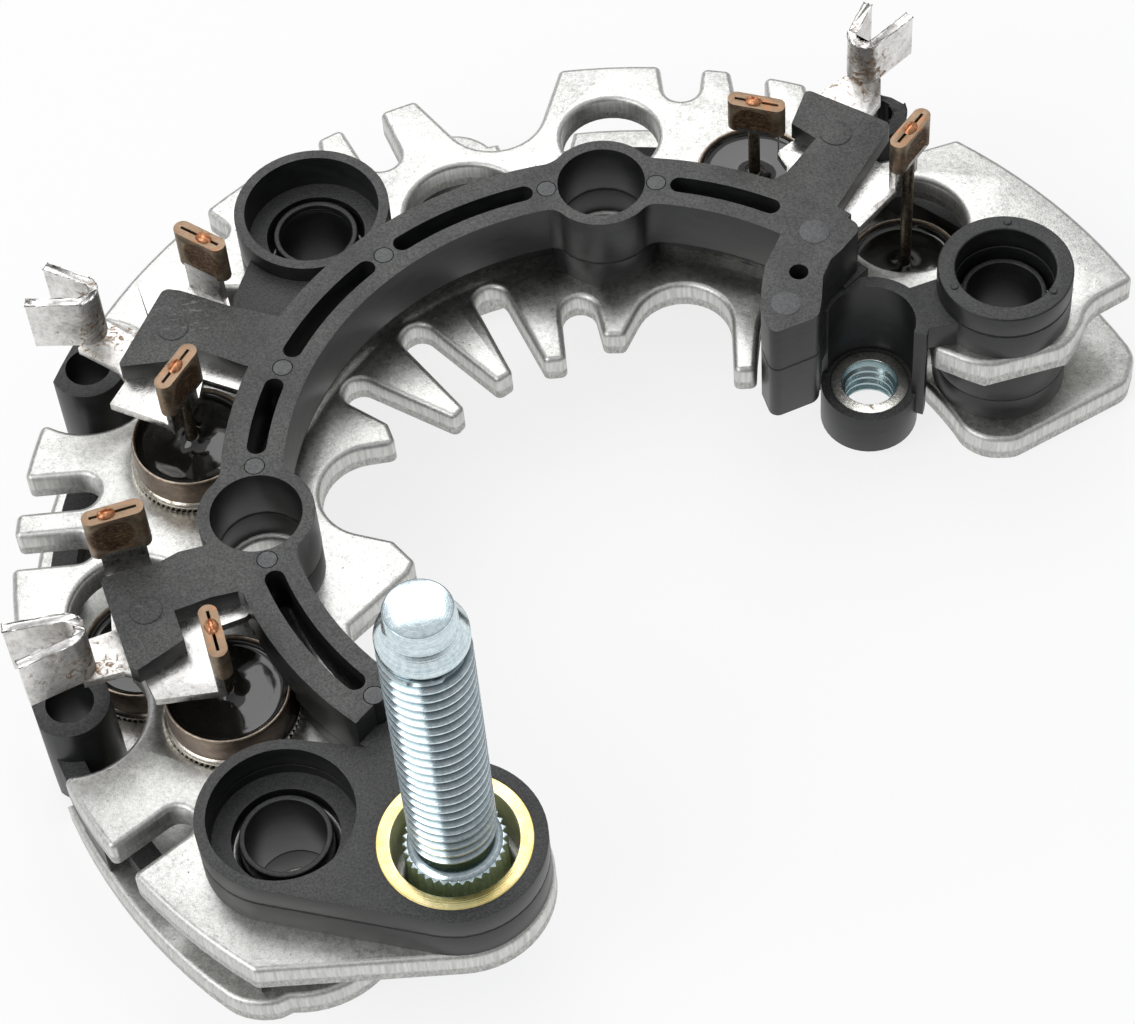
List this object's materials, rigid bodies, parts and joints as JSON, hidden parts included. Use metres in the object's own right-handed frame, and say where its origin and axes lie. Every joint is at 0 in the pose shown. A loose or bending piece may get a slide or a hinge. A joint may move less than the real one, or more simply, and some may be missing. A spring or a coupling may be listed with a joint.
{
  "type": "alternator rectifier",
  "caption": "Horseshoe alternator rectifier: stacked aluminium heat sinks, a staked black terminal frame, press-fit diodes with crimped phase terminals, and a threaded output stud.",
  "frame": {"origin": "centre of the near fixing hole, on the seat of the lower heat sink", "axes": "+Z along the fixing holes and the stud, away from the seat; +X along the longest side, from the wire tubes towards the end fixing; +Y away from the stud"},
  "size_m": [0.1134, 0.1068, 0.0557],
  "materials": {
    "aluminium": "tumbled, with rolled edges",
    "black_moulding": "matt, glass filled",
    "tinned_strip": "tinned copper",
    "nickelled_cup": "nickelled copper, knurled",
    "copper_collar": "browned copper",
    "potting": "glossy",
    "copper_lead": "tarnished copper",
    "zinc_steel": "zinc plated",
    "brass": "turned"
  },
  "bodies": {
    "root": {"positive_heat_sink": "aluminium", "negative_heat_sink": "aluminium", "lower_insulator": "black_moulding", "bush_near": "black_moulding", "bush_far": "black_moulding", "bush_end": "black_moulding", "terminal_base": "black_moulding", "terminal_cover": "black_moulding", "end_collar": "black_moulding", "brass_sleeve": "brass", "battery_stud": "zinc_steel", "threaded_insert": "zinc_steel", "phase_terminal_1": "tinned_strip", "phase_terminal_2": "tinned_strip", "phase_terminal_3": "tinned_strip", "positive_diode_1_cup": "nickelled_cup", "positive_diode_1_collar": "copper_collar", "positive_diode_1_potting": "potting", "positive_diode_1_lead": "copper_lead", "positive_diode_2_cup": "nickelled_cup", "positive_diode_2_collar": "copper_collar", "positive_diode_2_potting": "potting", "positive_diode_2_lead": "copper_lead", "positive_diode_3_cup": "nickelled_cup", "positive_diode_3_collar": "copper_collar", "positive_diode_3_potting": "potting", "positive_diode_3_lead": "copper_lead", "negative_diode_1_cup": "nickelled_cup", "negative_diode_1_collar": "copper_collar", "negative_diode_1_potting": "potting", "negative_diode_1_lead": "copper_lead", "negative_diode_2_cup": "nickelled_cup", "negative_diode_2_collar": "copper_collar", "negative_diode_2_potting": "potting", "negative_diode_2_lead": "copper_lead", "negative_diode_3_cup": "nickelled_cup", "negative_diode_3_collar": "copper_collar", "negative_diode_3_potting": "potting", "negative_diode_3_lead": "copper_lead"}
  },
  "joints": []
}
